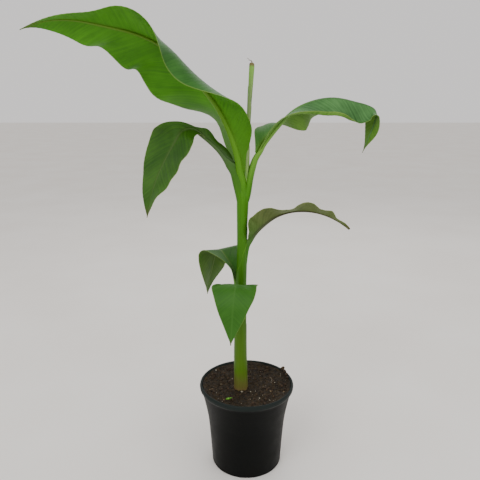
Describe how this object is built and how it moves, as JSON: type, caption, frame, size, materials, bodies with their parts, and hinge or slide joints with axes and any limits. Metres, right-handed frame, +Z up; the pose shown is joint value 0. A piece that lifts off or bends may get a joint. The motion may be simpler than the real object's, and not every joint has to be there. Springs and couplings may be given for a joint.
{
  "type": "potted banana plant",
  "caption": "Young potted banana plant: a slim green stem of leaf sheaths, broad arching leaves, a rolled new leaf, and a black nursery pot full of soil.",
  "frame": {"origin": "centre of the pot's flat underside, which stands on the floor", "axes": "+Z up, -Y the plant's front, +X to the right seen from the front"},
  "size_m": [0.4926, 0.2833, 0.767],
  "materials": {
    "pot_plastic": "matt black polypropylene with faint rings from its mould and dusty scuffs",
    "compost": "moist dark brown compost with bark crumbs and pale chips",
    "stem_skin": "smooth waxy green leaf sheaths, olive and brown at the foot",
    "leaf_stalk": "smooth green leaf stalks with a satin skin",
    "leaf_blade": "thin satin green leaf blades with fine parallel veins and a pale midrib",
    "young_leaf": "pale green rolled leaf with a dry brown tip"
  },
  "bodies": {
    "root": {"pot": "pot_plastic", "soil": "compost", "pseudostem": "stem_skin", "rolled_leaf": "young_leaf", "top_left_stalk": "leaf_stalk", "top_left_blade_inner": "leaf_blade", "top_left_blade_outer": "leaf_blade", "upper_right_stalk": "leaf_stalk", "upper_right_blade_inner": "leaf_blade", "upper_right_blade_outer": "leaf_blade", "middle_left_stalk": "leaf_stalk", "middle_left_blade_inner": "leaf_blade", "middle_left_blade_outer": "leaf_blade", "middle_right_stalk": "leaf_stalk", "middle_right_blade_inner": "leaf_blade", "middle_right_blade_outer": "leaf_blade", "low_left_stalk": "leaf_stalk", "low_left_blade_inner": "leaf_blade", "low_left_blade_outer": "leaf_blade", "low_front_stalk": "leaf_stalk", "low_front_blade_inner": "leaf_blade", "low_front_blade_outer": "leaf_blade"}
  },
  "joints": []
}
